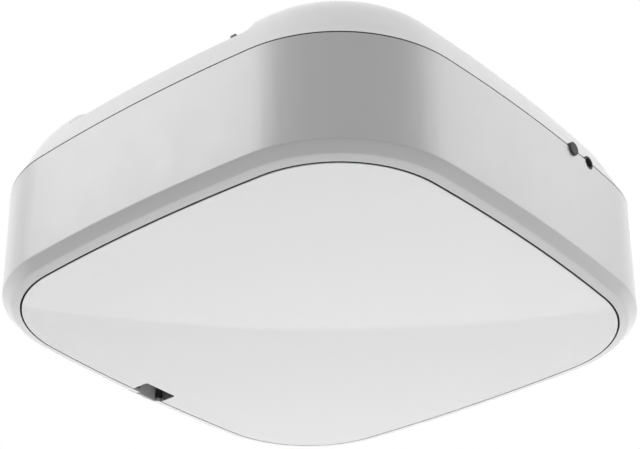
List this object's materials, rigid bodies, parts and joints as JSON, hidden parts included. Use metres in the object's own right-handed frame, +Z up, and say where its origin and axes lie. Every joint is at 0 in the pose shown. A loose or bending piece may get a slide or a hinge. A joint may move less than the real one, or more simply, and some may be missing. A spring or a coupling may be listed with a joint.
{
  "type": "garage door opener",
  "caption": "Ceiling power head that drives a garage door's rail belt, with a hinged light lens underneath.",
  "frame": {"origin": "centre of the four hanging bolts, on the top face of the steel deck", "axes": "+Z up towards the ceiling, -Y towards the door along the rail, +X towards the cord gland"},
  "size_m": [0.345, 0.344, 0.1266],
  "materials": {
    "skirt_grey": "satin light grey paint",
    "cover_white": "smooth satin white",
    "lens_white": "glossy opal white",
    "zinc_steel": "zinc plated",
    "shaft_steel": "ground",
    "black_plastic": "fine texture",
    "grey_plastic": "fine texture",
    "latch_grey": "smooth",
    "gear_nylon": "moulded nylon",
    "cast_case": "as cast",
    "motor_paint": "black enamel",
    "magnet": "ferrite",
    "copper": "bare copper",
    "bronze": "sintered bronze",
    "laminations": "stacked sheet",
    "board_green": "solder mask",
    "board_white": "white solder mask",
    "led_yellow": "phosphor",
    "rubber": "moulded",
    "button_grey": "smooth",
    "button_yellow": "smooth",
    "battery_blue": "smooth",
    "screw_steel": "zinc plated"
  },
  "bodies": {
    "head": {"lower_skirt": "skirt_grey", "upper_cover": "cover_white", "top_deck": "zinc_steel", "hanging_collars": "zinc_steel", "chassis_frame": "zinc_steel", "base_plate": "zinc_steel", "rail_bracket": "zinc_steel", "sprocket_guard": "black_plastic", "gearbox_housing": "cast_case", "gearbox_lid": "cast_case", "gearbox_standoffs": "zinc_steel", "shaft_bushes": "bronze", "motor_can": "motor_paint", "motor_magnets": "magnet", "motor_end_cap": "black_plastic", "motor_brushes": "bronze", "speed_sensor": "black_plastic", "motor_saddle": "zinc_steel", "hinge_guides": "black_plastic", "latch_pin": "shaft_steel", "latch_spring": "shaft_steel", "reflector": "cover_white", "battery_cover": "cover_white", "led_boards": "board_white", "led_chips": "led_yellow", "control_panel": "grey_plastic", "button_switches": "grey_plastic", "logic_board": "board_green", "power_board": "board_green", "board_posts": "grey_plastic", "radio_module": "board_green", "relays": "black_plastic", "beeper": "black_plastic", "transformer_core": "laminations", "transformer_winding": "copper", "capacitors": "battery_blue", "heat_sink": "cast_case", "battery_pack": "battery_blue", "battery_tray": "black_plastic", "cord_gland": "rubber", "wire_grommet": "rubber", "terminal_block": "battery_blue", "wire_clip": "grey_plastic", "case_screws": "screw_steel"},
    "lens": {"light_lens": "lens_white"},
    "hanger": {"lens_hanger": "zinc_steel", "hinge_pins": "shaft_steel"},
    "latch": {"latch_lever": "latch_grey"},
    "armature": {"motor_shaft": "shaft_steel", "worm": "shaft_steel", "armature_core": "laminations", "commutator": "copper", "speed_disc": "black_plastic"},
    "output": {"output_shaft": "shaft_steel", "worm_wheel": "gear_nylon", "belt_sprocket": "shaft_steel"},
    "up_key": {"up_button": "button_grey"},
    "adjust_key": {"adjust_button": "button_yellow"},
    "down_key": {"down_button": "button_grey"},
    "learn_key": {"learn_button": "button_yellow"}
  },
  "joints": [
    {"name": "lens_swing", "type": "hinge", "parent": "hanger", "child": "lens", "pos_m": [0.14, 0, -0.0998], "axis": [0, -1, 0], "range_deg": [0, 85]},
    {"name": "hanger_drop", "type": "slide", "parent": "head", "child": "hanger", "axis": [0, 0, -1], "range_m": [0, 0.03]},
    {"name": "latch_press", "type": "hinge", "parent": "head", "child": "latch", "pos_m": [-0.1623, 0.0058, -0.0858], "axis": [0, 1, 0], "range_deg": [0, 4], "stiffness_Nm_per_rad": 0.2, "springref_deg": -8.59},
    {"name": "motor_spin", "type": "hinge", "parent": "head", "child": "armature", "pos_m": [0, -0.0009, -0.0338], "axis": [1, 0, 0], "continuous": true},
    {"name": "sprocket_spin", "type": "hinge", "parent": "head", "child": "output", "pos_m": [0, 0.028, -0.0338], "axis": [0, 0, 1], "continuous": true},
    {"name": "up_press", "type": "slide", "parent": "head", "child": "up_key", "axis": [0, 0, 1], "range_m": [0, 0.0012], "stiffness_N_per_m": 400, "springref_m": -0.0006},
    {"name": "adjust_press", "type": "slide", "parent": "head", "child": "adjust_key", "axis": [0, 0, 1], "range_m": [0, 0.0012], "stiffness_N_per_m": 400, "springref_m": -0.0006},
    {"name": "down_press", "type": "slide", "parent": "head", "child": "down_key", "axis": [0, 0, 1], "range_m": [0, 0.0012], "stiffness_N_per_m": 400, "springref_m": -0.0006},
    {"name": "learn_press", "type": "slide", "parent": "head", "child": "learn_key", "axis": [0, 0, 1], "range_m": [0, 0.0012], "stiffness_N_per_m": 400, "springref_m": -0.0006}
  ],
  "couplings": [
    {"joint": "hanger_drop", "follows": "lens_swing", "m_per_rad": 0.0202},
    {"joint": "sprocket_spin", "follows": "motor_spin", "ratio": -0.033333}
  ]
}
